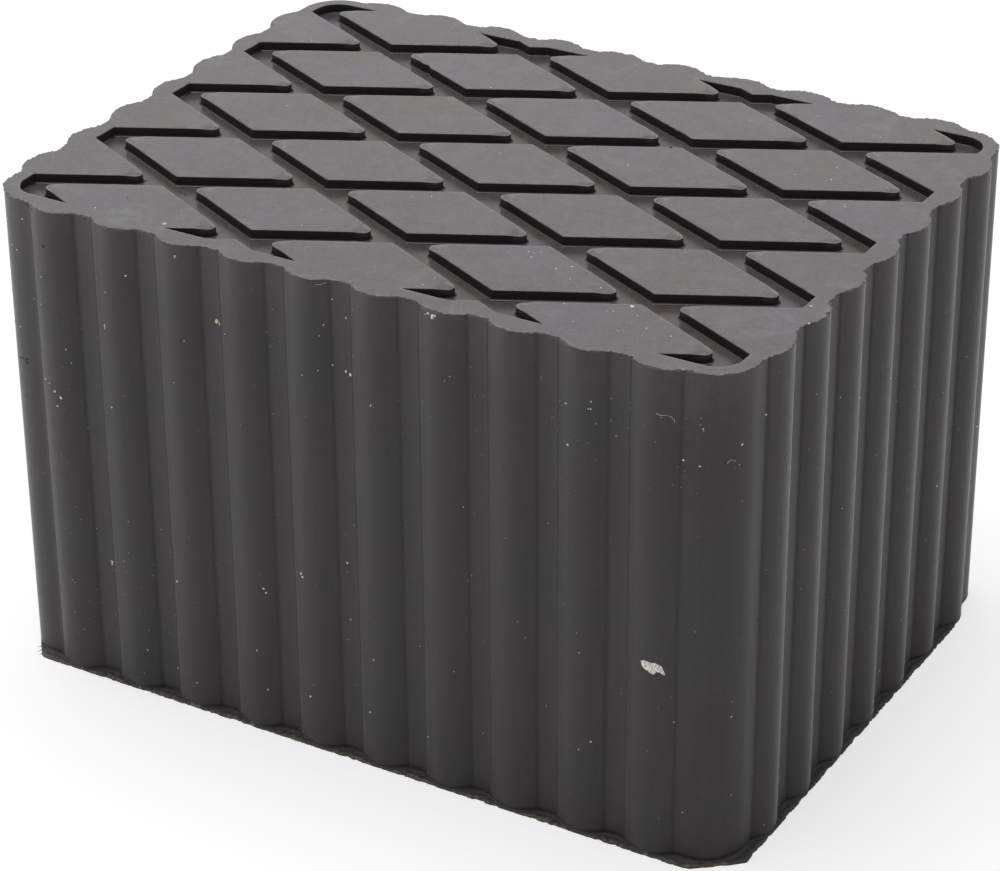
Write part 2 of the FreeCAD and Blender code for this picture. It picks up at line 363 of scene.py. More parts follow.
class Shell:
    """Vertices and faces gathered for one mesh, with two values at each vertex.

    groove is described at GROOVE_LIMIT, and film is how pale and torn the flash is there.
    """

    def __init__(self):
        self.vertices, self.faces, self.smooth, self.material = [], [], [], []
        self.groove, self.film = [], []

    def add_points(self, points, groove=-GROOVE_LIMIT, film=0.0):
        start = len(self.vertices)
        self.vertices.extend(tuple(float(v) for v in p) for p in points)
        count = len(self.vertices) - start
        self.groove.extend(np.broadcast_to(groove, count).tolist())
        self.film.extend(np.broadcast_to(film, count).tolist())
        return start

    def add_face(self, corners, smooth=True, material=RUBBER):
        self.faces.append(tuple(corners))
        self.smooth.append(smooth)
        self.material.append(int(material))

    def join_rings(self, lower, upper, count, smooth=True, material=RUBBER):
        material = np.broadcast_to(material, count)
        for k in range(count):
            following = (k + 1) % count
            self.add_face((lower + k, lower + following, upper + following, upper + k),
                          smooth, material[k])


def flash_reach():
    """How far the flash stands out from each point of the outline, at least a trace."""
    room = np.full(len(OUTLINE), np.inf)
    for x, y, distance in FLASH_TRIM:
        towards = WAYS @ (x, y)
        gap = (distance - OUTLINE @ (x, y)) / np.maximum(towards, FACING)
        room = np.where(towards > FACING, np.minimum(room, gap), room)
    ragged = 0.3 * bumps(as_3d(OUTLINE), 1.5, 11) + 0.35 * bumps(as_3d(OUTLINE), 0.5, 12)
    valley = np.clip(room / 1.5, 0, 1)
    ragged = np.maximum(0.08 + ragged, 0.0) * (0.5 + 0.5 * valley)
    return np.maximum(room - ragged - 0.02, LEAST_FLASH)


def add_foot(shell):
    """The thin flash between the ribs, and the foot of the side above it."""
    reach = flash_reach()
    valley = np.clip((reach - 0.26) / 0.5, 0, 1)
    dusty = valley * np.where(WAYS[:, 0] > 0.8, 0.3, 1.0)
    rough = bumps(as_3d(OUTLINE), 0.9, 13)
    fine = bumps(as_3d(OUTLINE), 0.5, 14)

    def ring(out, z, film):
        return shell.add_points(np.c_[OUTLINE + WAYS * out[:, None], z], film=film)

    # From the ground up: the trimmed edge, the torn top of the flash, the crevice behind it and
    # the foot of the side
    rings = [
        ring(reach - 0.04, np.zeros(len(reach)), 0.2 * dusty),
        ring(reach, 0.16 + 0.08 * rough, 0.45 * dusty),
        ring(reach * 0.75, 0.34 + (0.2 * rough + 0.16 * fine) * valley, dusty),
        ring(reach * 0.4 + 0.02, 0.36 + (0.2 * fine - 0.02) * valley, 0.35 * dusty),
        ring(0.02 - 0.3 * valley, 0.5 - 0.1 * valley, 0.0),
        ring(np.zeros(len(reach)), 0.75 + (0.25 + 0.35 * rough) * valley, 0.0),
    ]
    # In the valleys these faces take the torn material: its near-black is the cut rubber and also
    # painted shade in the crevice and at the side's foot
    torn = np.where(np.maximum(valley, np.roll(valley, -1)) > 0.1, TORN, RUBBER)
    for lower, upper in zip(rings, rings[1:]):
        shell.join_rings(lower, upper, len(OUTLINE), smooth=True, material=torn)
    shell.add_face([rings[0] + k for k in reversed(range(len(OUTLINE)))], smooth=False)
    return rings[-1]


def add_sides(shell):
    """The sides up to the rim. Returns the plan of the rim's inner edge."""
    count = len(OUTLINE)
    worn = rim_wear(as_3d(OUTLINE, TOP))[:, None]
    torn = 0.10 * bumps(as_3d(OUTLINE), 0.7, 15)
    # Heights of the rings, and the share of the rim's wear that each takes
    levels = [(z, 0.0) for z in np.r_[1.5, 3.0, np.linspace(6, 96, 11), 97.4, 98.0]]
    levels += [(98.45, 0.0), (98.7, 0.12)]
    rings = [add_foot(shell)]
    for z, wear in levels:
        ring = as_3d(OUTLINE + NORMALS * worn * wear, z)
        rings.append(shell.add_points(ring, groove=-GROOVE_LIMIT - CREASES))
    for inset, depth in RIM_PROFILE:
        ring = OUTLINE + NORMALS * (worn - inset)
        z = TOP - depth * (1 + 4 * np.abs(torn))
        rings.append(shell.add_points(np.c_[ring, z], groove=RIM_GROOVE))
    # On the left feet of the ribs the faces take the darker, sheenless crease material: a painted
    # shade line
    line = np.where(SHADE_LINED & np.roll(SHADE_LINED, -1), CREASE, RUBBER)
    for lower, upper in zip(rings, rings[1:]):
        shell.join_rings(lower, upper, count, material=line)
    return OUTLINE + NORMALS * (worn - RIM_PROFILE[-1][0])


EDGE_WEAR_REACH = 1.2                       # how far from a pad's edge the tread is shifted
EVEN_RIM = 1.5                              # outside the recess by this, it isn't
WALL_SPAN = (-0.01, 0.2)                    # groove distances between which a face is a wall
FLAT = 0.001


def add_tread(shell, ring):
    """The top, inside the rim's inner edge."""
    plan, faces = tread_triangles(ring)
    distance = groove_distance(plan)
    z = TOP - tread_depth(plan)
    near = np.clip(EDGE_WEAR_REACH - np.abs(distance), 0, 1)[:, None]
    near[recess_distance(plan) < -EVEN_RIM] = 0
    worn = plan + edge_wear(as_3d(plan)) * near
    start = shell.add_points(np.c_[worn, z],
                             groove=np.clip(distance, -GROOVE_LIMIT, GROOVE_LIMIT))
    for face in faces:
        level, across = z[list(face)], distance[list(face)]
        is_wall = across.min() > WALL_SPAN[0] and across.max() < WALL_SPAN[1]
        # Groove walls take a near-black material that reflects little: painted shade
        shell.add_face((start + k for k in face), smooth=bool(level.max() - level.min() > FLAT),
                       material=SHADED_WALL if is_wall else RUBBER)


# Marks on the block

TREAD_FROM = TOP - 0.5                      # places above this height lie on the tread
# A lump's irregular reach and its stretch, how deep it is sunk, how far its foot stands out, and
# the size and height of its shoulder
LUMP_REACH, LUMP_STRETCH = (0.72, 1.22), (1.0, 1.5)
LUMP_DEPTH, LUMP_FOOT, SHOULDER_SIZE, SHOULDER_HEIGHT = 0.12, 0.02, 0.65, 0.8
HEIGHT_ON_TOP = 0.025                       # of the lumps there, inside the solid's box
THREAD_DEPTH = 0.03                         # how far a strand is sunk in


def surface_frame(place):
    """The nearest point of the block's surface, and the directions along, up and out there."""
    x, y, z = place
    if z > TREAD_FROM:
        depth = float(tread_depth(np.array([[x, y]]))[0])
        return [np.array(v, float) for v in ((x, y, TOP - depth), (1, 0, 0), (0, 1, 0), (0, 0, 1))]
    k = int(np.argmin(np.hypot(*(OUTLINE - (x, y)).T)))
    out = np.array([*NORMALS[k], 0.0]) / np.hypot(*NORMALS[k])
    return np.array([*OUTLINE[k], z]), np.array([-out[1], out[0], 0.0]), np.array([0, 0, 1.0]), out


def add_lump(shell, place, radius, height, material, rng, corners=9):
    """A small irregular lump on the surface, or with no height a flat spot."""
    where, along, up, out = surface_frame(place)
    angles = np.arange(corners) * 2 * math.pi / corners
    reach = radius * rng.uniform(*LUMP_REACH, corners)
    stretch, turn = rng.uniform(*LUMP_STRETCH), rng.uniform(0, math.pi)
    a = reach * np.cos(angles) * math.sqrt(stretch)
    b = reach * np.sin(angles) / math.sqrt(stretch)
    a, b = a * math.cos(turn) - b * math.sin(turn), a * math.sin(turn) + b * math.cos(turn)
    if out[2] > 0:
        height = min(height, HEIGHT_ON_TOP)
    rings = []
    for scale, lift in ((1.0, -LUMP_DEPTH), (1.0, LUMP_FOOT),
                        (SHOULDER_SIZE, LUMP_FOOT + height * SHOULDER_HEIGHT)):
        points = where + scale * (a[:, None] * along + b[:, None] * up) + lift * out
        rings.append(shell.add_points(points))
    tip = shell.add_points([where + (LUMP_FOOT + height) * out])
    for lower, upper in zip(rings, rings[1:]):
        shell.join_rings(lower, upper, corners, smooth=False, material=material)
    for k in range(corners):
        shell.add_face((rings[-1] + k, rings[-1] + (k + 1) % corners, tip), False, material)
    shell.add_face([rings[0] + k for k in reversed(range(corners))], False, material)


def add_thread(shell, places, width, height, material):
    """A thin three-sided strand laid along places on the surface."""
    frames = [surface_frame(p) for p in places]
    middle = np.array([f[0] for f in frames])
    way = np.gradient(middle, axis=0)
    points = []
    for k, (where, _, _, out) in enumerate(frames):
        aside = np.cross(out, way[k])
        aside = aside / np.linalg.norm(aside) * width / 2
        foot = where - THREAD_DEPTH * out
        points += [foot + aside, foot - aside, where + height * out]
    start = shell.add_points(points)
    for k in range(len(frames) - 1):
        a, b = start + 3 * k, start + 3 * k + 3
        for i, j in ((0, 1), (1, 2), (2, 0)):
            shell.add_face((a + i, a + j, b + j, b + i), True, material)
    last = start + 3 * (len(frames) - 1)
    shell.add_face((start + 2, start + 1, start), False, material)
    shell.add_face((last, last + 1, last + 2), False, material)


def curve(knots, count):
    """Places along a polyline through knots, evenly spaced."""
    knots = np.array(knots, float)
    run = np.r_[0, np.cumsum(np.linalg.norm(np.diff(knots, axis=0), axis=1))]
    at = np.linspace(0, run[-1], count)
    return np.c_[[np.interp(at, run, knots[:, k]) for k in range(3)]].T


# Outline of a fleck of dried paint on the front, as x and z
FLECK = [
    (61.7, 40.9), (62.3, 41.15), (62.9, 41.25), (63.6, 41.05), (64.4, 41.2), (65.1, 40.9),
    (65.7, 40.65), (65.75, 40.3), (65.95, 39.9), (66.15, 39.3), (66.25, 38.85), (65.9, 39.0),
    (65.5, 39.35), (65.1, 39.45), (64.8, 39.45), (64.5, 39.0), (64.25, 38.75), (63.9, 38.95),
    (63.3, 39.25), (62.8, 39.45), (62.35, 39.65), (62.1, 40.1),
]


def add_fleck(shell):
    """The fleck of dried paint, a thin sheet with a front, a back and an edge."""
    rim = subdivide(np.array(FLECK)[::-1], 0.25)
    rim += 0.09 * np.c_[bumps(as_3d(rim), 0.35, 21), bumps(as_3d(rim), 0.35, 22)]
    grid = [(x, z) for x in np.arange(61.5, 66.5, 0.3) for z in np.arange(38.5, 41.5, 0.3)]
    grid = [p for p in grid if inside(np.array(p), rim)]
    edges = [(k, (k + 1) % len(rim)) for k in range(len(rim))]
    plan, faces = fill(rim, [Vector(p) for p in rim] + [Vector(p) for p in grid], edges)
    faces = [f for f in faces if inside(plan[list(f)].mean(0), rim)]

    def on_front(x, z, lift):
        out = float(rib_profile(across_rib(x, RIBS_LONG)))
        return x, -(HALF_WIDTH + out + lift), z

    lift = 0.13 + 0.08 * bumps(as_3d(plan), 0.5, 23)
    start = shell.add_points(on_front(x, z, h) for (x, z), h in zip(plan, lift))
    back = shell.add_points(on_front(x, z, -0.06) for x, z in plan)
    for face in faces:
        shell.add_face([start + k for k in face], smooth=False, material=PAINT)
        shell.add_face([back + k for k in reversed(face)], smooth=False, material=PAINT)
    ring = [int(np.argmin(np.hypot(*(plan - r).T))) for r in rim]
    for a, b in zip(ring, ring[1:] + ring[:1]):
        shell.add_face((back + a, back + b, start + b, start + a), False, PAINT)


# Crumbs and pits on the surface: the place and the radius. A place as high as the top lies on the
# tread, on a pad or on a groove's floor.
CRUMBS = [
    ((-75.0, -56.3, 93.3), 0.17), ((-70.2, -58.0, 95.0), 0.17), ((-73.7, -57.1, 88.5), 0.14),
    ((-72.1, -57.7, 88.1), 0.14), ((-34.0, -59.9, 96.5), 0.26), ((-46.1, -59.4, 89.6), 0.17),
    ((-50.4, -59.9, 85.4), 0.13), ((-24.3, -59.2, 82.9), 0.13), ((-73.0, -57.4, 71.7), 0.18),
    ((-65.9, -59.4, 78.9), 0.13), ((-60.6, -59.6, 70.9), 0.13), ((-66.3, -59.2, 63.0), 0.17),
    ((-65.4, -59.6, 62.7), 0.12), ((-63.9, -59.9, 61.4), 0.26), ((-62.4, -60.0, 60.4), 0.28),
    ((-63.6, -60.0, 58.4), 0.20), ((-50.6, -59.8, 61.4), 0.24), ((-7.6, -60.0, 79.4), 0.13),
    ((0.9, -58.0, 92.0), 0.21), ((1.8, -58.0, 80.9), 0.28), ((-2.1, -58.1, 82.0), 0.15),
    ((2.6, -58.5, 85.1), 0.11), ((6.9, -60.0, 77.0), 0.17), ((-1.6, -58.0, 95.0), 0.13),
    ((-3.3, -59.0, 90.0), 0.13), ((-55.8, -54.2, 99.0), 0.19), ((-18.6, -41.9, 99.0), 0.19),
    ((49.3, -41.5, 99.0), 0.40), ((43.3, -51.6, 99.0), 0.16), ((47.4, -44.8, 99.0), 0.14),
    ((60.4, -48.4, 99.0), 0.19), ((76.0, -26.1, 99.0), 0.20), ((78.6, -32.3, 99.0), 0.18),
    ((46.6, -59.6, 79.7), 0.21), ((46.3, -59.5, 87.5), 0.16), ((51.2, -59.7, 89.2), 0.16),
    ((51.4, -59.6, 87.8), 0.16), ((50.7, -59.8, 87.8), 0.13), ((78.0, -47.0, 88.0), 0.19),
    ((76.9, -53.9, 85.1), 0.21), ((71.7, -57.8, 88.5), 0.16), ((68.4, -58.0, 81.8), 0.21),
    ((71.3, -57.9, 81.3), 0.16), ((79.9, 0.8, 73.7), 0.17), ((79.7, -11.8, 75.4), 0.17),
    ((78.6, -18.2, 78.2), 0.12), ((79.8, 26.5, 38.7), 0.18), ((78.0, 49.9, 40.3), 0.23),
    ((79.8, -40.2, 74.9), 0.13), ((49.3, -60.0, 38.7), 0.13), ((49.6, -60.0, 18.2), 0.13),
    ((51.6, -59.5, 20.3), 0.18), ((67.7, -58.2, 29.1), 0.12), ((76.9, -54.0, 30.8), 0.18),
    ((77.1, -53.7, 14.0), 0.12), ((69.7, -58.0, 10.3), 0.13), ((78.0, 8.0, 6.5), 0.16),
    ((79.7, 1.9, 3.5), 0.18), ((-38.5, -59.1, 26.8), 0.23), ((-18.4, -59.5, 31.4), 0.21),
    ((-18.0, -59.3, 30.5), 0.22), ((-0.5, -58.0, 41.5), 0.21), ((0.0, -58.0, 29.4), 0.14),
    ((6.3, -60.0, 23.6), 0.19), ((-20.3, -59.9, 17.5), 0.18), ((-46.2, -59.4, 9.2), 0.18),
    ((-34.7, -60.0, 5.7), 0.14), ((-18.3, -59.5, 9.0), 0.16), ((-8.4, -59.9, 10.9), 0.22),
    ((4.6, -59.6, 11.5), 0.16), ((16.9, -58.7, 9.4), 0.18), ((-40.3, -58.0, 6.2), 0.14),
    ((19.9, -60.0, 97.7), 0.40), ((20.5, -60.0, 98.1), 0.26), ((19.0, -60.0, 98.1), 0.22),
]
TAN_CRUMBS = [
    ((-51.3, -59.6, 78.3), 0.22), ((-51.2, -59.6, 77.8), 0.20), ((-26.9, -58.0, 84.5), 0.44),
    ((-26.4, -58.0, 84.1), 0.26), ((0.6, -58.0, 81.3), 0.28), ((-40.6, -53.6, 99.0), 0.38),
    ((-54.5, -58.0, 25.9), 0.27), ((-54.5, -58.0, 25.4), 0.22), ((-9.5, -59.6, 37.2), 0.26),
    ((-9.1, -59.6, 36.7), 0.26),
]
# Pits are drawn as flat near-black spots: painted shade of small hollows
PITS = [
    ((-47.3, -37.7, 99.0), 0.30), ((-57.4, -36.0, 99.0), 0.20), ((-53.2, -47.7, 99.0), 0.20),
    ((-63.7, -60.0, 91.6), 0.40), ((23.2, 22.15, 99.0), 0.34), ((78.0, -47.4, 47.5), 0.32),
    ((-71.9, -57.7, 64.6), 0.40),
]
FINE_SPECKS, SPECK_CORNERS = 320, 5
RIM_BURRS = 60
# Torn spikes at the left corner of the flash: the foot and the tip
SPIKES = [
    ((-73.9, -56.8, 0.10), (-75.0, -58.1, 0.25)), ((-73.3, -57.8, 0.10), (-74.0, -59.3, 0.1)),
    ((-72.7, -58.6, 0.10), (-72.9, -60.2, 0.05)), ((-71.8, -59.5, 0.10), (-71.7, -60.36, 0.1)),
]
# Clusters of fine specks: the middle, the spread and the number
SPECK_CLUSTERS = [
    ((-66.0, -60, 48.0), 22.0, 30), ((-60.0, -60, 18.0), 20.0, 44), ((-42.0, -60, 16.0), 26.0, 40),
    ((-74.0, -57, 76.0), 26.0, 40), ((-36.0, -60, 70.0), 40.0, 34), ((10.0, -60, 60.0), 50.0, 30),
    ((66.0, -60, 84.0), 16.0, 30), ((49.0, -60, 82.0), 12.0, 14), ((66.0, -60, 30.0), 30.0, 14),
    ((80.0, 0, 60.0), 50.0, 36), ((52.0, -44, TOP), 16.0, 30), ((-14.0, -30, TOP), 26.0, 30),
    ((20.0, 8, TOP), 40.0, 36), ((-20.0, 30, TOP), 50.0, 30),
    ((31.0, -33.7, TOP), 8.0, 14), ((39.5, -37.2, TOP), 5.0, 16),
]
TOP_CLUSTERS_FROM = 92                      # specks of a cluster above this height lie on the top
# Near-black strands that paint the shade of a nick at the left edge, with their width and number of
# points, and hairs
NICK = [
    ([(-75.2, -56.2, 64.5), (-73.5, -57.2, 64.8), (-71.3, -57.9, 65.5)], 0.5, 9),
    ([(-71.8, -57.8, 65.2), (-72.0, -57.7, 64.1)], 0.26, 4),
]
HAIRS = [
    [(63.9, -60, 90.4), (64.6, -60, 90.2), (65.4, -59.5, 90.3), (66.2, -59.2, 90.15),
     (66.7, -59, 89.7), (66.85, -58.9, 88.9)],
    [(76.4, -54.9, 82.2), (76.1, -55.2, 82.6), (75.7, -55.6, 82.5), (75.5, -55.8, 82.0)],
    [(18.0, -60, 97.5), (18.8, -60, 98.1), (19.6, -60, 97.9), (20.8, -59.9, 98.3)],
    [(-4.9, -58.5, 98.0), (-4.2, -58.1, 97.9), (-3.4, -58.0, 98.1), (-2.9, -58, 98.25)],
]
HAIR_POINTS, HAIR_WIDTH, HAIR_HEIGHT = 14, 0.11, 0.06
NICK_HEIGHT = 0.03
MARKS_SEED = 5


def on_pads(x, y):
    return tread_depth(np.array([[x, y]]))[0] < FLAT


def add_spike(shell, foot, tip):
    """A torn spike lying on the ground."""
    foot, tip = np.array(foot), np.array(tip)
    way = (tip - foot) / np.linalg.norm(tip - foot)
    aside = np.cross(way, (0, 0, 1.0)) * 0.2
    start = shell.add_points([foot + aside, foot - aside, foot + (0, 0, 0.2), tip])
    for corners in ((0, 1, 3), (1, 2, 3), (2, 0, 3), (2, 1, 0)):
        shell.add_face([start + k for k in corners], False, TORN)


def add_specks(shell, rng):
    """Fine dust, first in clusters and then everywhere."""
    clustered = []
    for middle, spread, number in SPECK_CLUSTERS:
        clustered += [np.array(middle) + rng.normal(0, spread / 2, 3) for _ in range(number)]
    for x, y, z in clustered:
        radius = 0.07 + 0.08 * rng.random() ** 2
        if z > TOP_CLUSTERS_FROM:
            if on_pads(x, y) and abs(x) < 77 and abs(y) < 57:
                pale = PAINT if rng.random() < 0.45 else DUST
                add_lump(shell, (x, y, TOP), radius * 1.5, radius, pale, rng, SPECK_CORNERS)
        elif z > 2:
            add_lump(shell, (x, y, z), radius * 1.1, radius * 0.4, DUST, rng, SPECK_CORNERS)
    for _ in range(FINE_SPECKS):
        x, y = rng.uniform(-76, 76), rng.uniform(-56, 56)
        radius = 0.05 + 0.07 * rng.random() ** 2
        place = [(x, y, TOP), (x, -60, rng.uniform(2, 97)), (80, y, rng.uniform(2, 97)),
                 (-80, y, rng.uniform(2, 97)), (x, 60, rng.uniform(2, 97))][rng.integers(5)]
        if place[2] == TOP:
            radius *= 1.5
        if place[2] < TOP or on_pads(x, y):
            add_lump(shell, place, radius, radius * 0.4, PAINT, rng, SPECK_CORNERS)


def add_marks(shell):
    rng = np.random.default_rng(MARKS_SEED)
    for foot, tip in SPIKES:
        add_spike(shell, foot, tip)
    for place, radius in CRUMBS:
        add_lump(shell, place, radius, radius * 0.5, PAINT, rng)
    for place, radius in TAN_CRUMBS:
        add_lump(shell, place, radius, radius * 0.5, TAN, rng)
    for place, radius in PITS:
        add_lump(shell, place, radius, 0.0, HOLLOW_SHADE, rng)
    add_specks(shell, rng)
    for k in rng.integers(0, len(OUTLINE), RIM_BURRS):
        place = (*OUTLINE[k], TOP - rng.uniform(0.65, 0.9))
        add_lump(shell, place, rng.uniform(0.12, 0.3), 0.12, RUBBER, rng)
    for knots, width, count in NICK:
        add_thread(shell, curve(knots, count), width, NICK_HEIGHT, HOLLOW_SHADE)
    for knots in HAIRS:
        add_thread(shell, curve(knots, HAIR_POINTS), HAIR_WIDTH, HAIR_HEIGHT, PAINT)


WELD_DISTANCE = 0.003


def build_block():
    """The block as one closed mesh, with its marks as small closed meshes in it."""
    shell = Shell()
    add_tread(shell, add_sides(shell))
    add_fleck(shell)
    add_marks(shell)
    mesh = bpy.data.meshes.new("rubber_block")
    mesh.from_pydata([[v * MM for v in p] for p in shell.vertices], [], shell.faces)
    mesh.polygons.foreach_set("use_smooth", shell.smooth)
    mesh.polygons.foreach_set("material_index", shell.material)
    for name, values in (("groove", shell.groove), ("film", shell.film)):
        mesh.attributes.new(name, "FLOAT", "POINT").data.foreach_set("value", values)
    block = bpy.data.objects.new("rubber_block", mesh)
    bpy.context.scene.collection.objects.link(block)
    work = bmesh.new()
    work.from_mesh(mesh)
    bmesh.ops.remove_doubles(work, verts=work.verts, dist=WELD_DISTANCE * MM)
    bmesh.ops.delete(work, geom=[v for v in work.verts if not v.link_faces], context="VERTS")
    bmesh.ops.recalc_face_normals(work, faces=work.faces)
    work.to_mesh(mesh)
    work.free()
    mesh.update()
    return block


# Materials

class Nodes:
    """A short way to write a material's nodes."""

    def __init__(self, name):
        self.material = bpy.data.materials.new(name)
        self.material.use_nodes = True
        self.tree = self.material.node_tree
        self.shader = self.tree.nodes["Principled BSDF"]

    def add(self, kind, output=0, operation=None, **inputs):
        """Adds a node, sets or links its inputs, and returns one output."""
        node = self.tree.nodes.new("ShaderNode" + kind)
        if operation:
            node.operation = operation
        for name, value in inputs.items():
            self.feed(node, name, value)
        return node.outputs[output]

    def feed(self, node, name, value):
        key = int(name[1:]) if name[0] == "i" and name[1:].isdigit() else name.replace("_", " ")
        if isinstance(value, bpy.types.NodeSocket):
            self.tree.links.new(value, node.inputs[key])
        else:
            node.inputs[key].default_value = value

    def math(self, operation, a, b=0.0):
        return self.add("Math", operation=operation, i0=a, i1=b)

    def ramp(self, value, low, high, to_low=0.0, to_high=1.0):
        return self.add("MapRange", Value=value, From_Min=low, From_Max=high,
                        To_Min=to_low, To_Max=to_high)

    def mix(self, factor, a, b):
        node = self.tree.nodes.new("ShaderNodeMix")
        node.data_type = "RGBA"
        for key, value in ((0, factor), (6, a), (7, b)):
            if isinstance(value, bpy.types.NodeSocket):
                self.tree.links.new(value, node.inputs[key])
            else:
                node.inputs[key].default_value = value
        return node.outputs[2]

    def times(self, a, b):
        return self.add("VectorMath", operation="MULTIPLY", i0=a, i1=b)

    def noise(self, where, scale, detail=2.0, roughness=0.5):
        return self.add("TexNoise", Vector=where, Scale=scale, Detail=detail, Roughness=roughness)

    def attribute(self, name):
        node = self.tree.nodes.new("ShaderNodeAttribute")
        node.attribute_name = name
        return node.outputs["Fac"]

    def millimetres(self):
        """The object's own coordinates in millimetres."""
        return self.times(self.add("TexCoord", output="Object"), (1 / MM, 1 / MM, 1 / MM))

    def bump(self, height, strength, distance):
        made = self.add("Bump", Height=height, Strength=strength, Distance=distance * MM)
        self.feed(self.shader, "Normal", made)


SIDE_COLOUR = (0.0262, 0.0228, 0.0232, 1)
PAD_COLOUR = (0.1000, 0.0895, 0.0945, 1)
GROOVE_COLOUR = (0.063, 0.0545, 0.0530, 1)
# Dark colour for dirt and painted shade at the foot of the groove walls, and for painted shade in
# the rib creases
DIRT_AND_SHADE_COLOUR = (0.015, 0.012, 0.0112, 1)
# Pale colour for worn pad edges and the rim, and for painted highlights along edges and groove
# fillets
PALE_WEAR_AND_HIGHLIGHT_COLOUR = (0.150, 0.142, 0.140, 1)
# The torn flash's near-black is the cut rubber's colour and also painted shade in the crevice behind
# it
TORN_DARK_AND_SHADE, TORN_PALE = (0.005, 0.004, 0.0035, 1), (0.135, 0.118, 0.095, 1)
FLOOR_LIT, FLOOR_SEEN, FLOOR_GLOW = (0.86, 0.86, 0.86, 1), (0.48, 0.48, 0.48, 1), 0.6
SCUFF_COLOUR = (0.17, 0.17, 0.168, 1)
WARM, COOL = (1.07, 0.985, 0.95, 1), (0.98, 0.99, 1.04, 1)
# Places where the dust is thicker, and where the top is scuffed
DUSTY_CORNER, SCUFF = (75.0, -57.0, TOP), (-48.5, -54.0, TOP)


def rubber_material():
    """Rubber by height, direction and groove value: pads, grooves, edges, sides and creases, with
    painted shade at the wall feet and in the creases, and painted highlights with wear on the edges.
    """
    n = Nodes("moulded_rubber")
    where = n.millimetres()
    up = n.ramp(n.add("SeparateXYZ", output="Z", i0=n.add("NewGeometry", output="Normal")),
                0.25, 0.95)
    groove = n.attribute("groove")
    cloud = n.noise(where, 0.05, 2)
    blotch = n.noise(where, 0.35, 3, 0.6)
    grain = n.noise(where, 2.4, 2, 0.6)
    streak = n.noise(n.times(where, (1, 1, 0.05)), 0.8, 2)

    # Dusty pads, darker grooves with dirt and painted shade at the foot of the walls, a pale line
    # along the edges that is a painted highlight
    floor = n.ramp(groove, 0.0, 0.1)
    # The groove floor beside the walls is darkened by dirt and by painted shade
    dirt_and_shade = n.math("MULTIPLY", floor, n.ramp(groove, 0.66, 0.42))
    # A painted highlight on the fillet at the foot of the walls
    line = n.math("MULTIPLY", n.ramp(groove, 0.44, 0.58), n.ramp(groove, 0.80, 0.62))
    # Pad edges and the rim's edge are lighter: partly wear, partly a painted highlight of the
    # rounded edge
    edge = n.math("MULTIPLY", n.ramp(groove, -0.45, -0.2), n.ramp(groove, 0.0, -0.1))
    edge = n.math("MULTIPLY", edge, n.ramp(blotch, 0.35, 0.65, 0.0, 0.9))
    colour = n.mix(floor, PAD_COLOUR, GROOVE_COLOUR)
    colour = n.mix(dirt_and_shade, colour, DIRT_AND_SHADE_COLOUR)
    colour = n.mix(n.math("MULTIPLY", line, 0.35), colour, PALE_WEAR_AND_HIGHLIGHT_COLOUR)
    colour = n.mix(edge, colour, PALE_WEAR_AND_HIGHLIGHT_COLOUR)
    # Painted shade: the sides darken in the crease at the foot of each rib
    crease = n.ramp(groove, -3.05, -3.8, 0.0, 0.95)
    side = n.mix(crease, SIDE_COLOUR, DIRT_AND_SHADE_COLOUR)
    # The rim's edge on the sides is lighter in the same way: wear and a painted highlight
    side = n.mix(n.math("MULTIPLY", edge, 0.6), side, PALE_WEAR_AND_HIGHLIGHT_COLOUR)
    colour = n.mix(up, side, colour)

    tint = n.mix(n.ramp(cloud, 0.35, 0.65), WARM, COOL)
    shade = n.math("ADD", n.ramp(cloud, 0.3, 0.7, 0.93, 1.07), n.ramp(blotch, 0.3, 0.7, -0.08, 0.08))
    shade = n.math("ADD", shade, n.ramp(grain, 0.3, 0.7, -0.2, 0.2))
    shade = n.math("ADD", shade, n.ramp(streak, 0.3, 0.7, -0.08, 0.08))
    smudge = n.math("MULTIPLY", n.ramp(n.noise(where, 0.13, 3), 0.52, 0.70, 0.0, 0.16), up)
    shade = n.math("ADD", shade, smudge)
    corner = n.add("VectorMath", output="Value", operation="DISTANCE", i0=where, i1=DUSTY_CORNER)
    high = n.ramp(n.add("SeparateXYZ", output="Z", i0=where), 86.0, 98.5)
    dust = n.math("MULTIPLY", high, n.ramp(up, 0.0, 0.3, 0.6, 0.0))
    dust = n.math("MULTIPLY", dust, n.ramp(corner, 16.0, 5.0, 1.0, 1.9))
    shade = n.math("ADD", shade, n.math("MULTIPLY", dust, n.ramp(blotch, 0.3, 0.7, 0.4, 1.0)))
    colour = n.times(n.times(colour, tint), shade)

    # A pale scuffed patch near the front left of the top
    apart = n.add("VectorMath", output="Value", operation="DISTANCE", i0=where, i1=SCUFF)
    scuff = n.math("MULTIPLY", n.ramp(apart, 6.5, 2.5), n.ramp(blotch, 0.38, 0.62, 0.1, 0.75))
    colour = n.mix(n.math("MULTIPLY", scuff, up), colour, SCUFF_COLOUR)
    n.feed(n.shader, "Base Color", colour)
    n.feed(n.shader, "Roughness", n.math("ADD", n.ramp(blotch, 0.3, 0.7, 0.45, 0.53),
                                         n.ramp(up, 0, 1, 0.0, -0.2)))
    n.feed(n.shader, "Sheen Weight", 0.42)
    n.feed(n.shader, "Sheen Roughness", 0.30)
    relief = n.math("MULTIPLY", n.math("ADD", grain, blotch), n.ramp(up, 0, 1, 1.0, 0.45))
    n.bump(relief, strength=0.35, distance=0.08)
    return n.material


def crumb_material(name, dark, light):
    """A pale crumb or a fleck of paint with darker cracks."""
    n = Nodes(name)
    where = n.millimetres()
    crack = n.noise(where, 2.4, 3, 0.7)
    n.feed(n.shader, "Base Color", n.mix(n.ramp(crack, 0.40, 0.56), dark, light))
    n.feed(n.shader, "Roughness", 0.7)
    n.bump(crack, strength=0.4, distance=0.1)
    return n.material


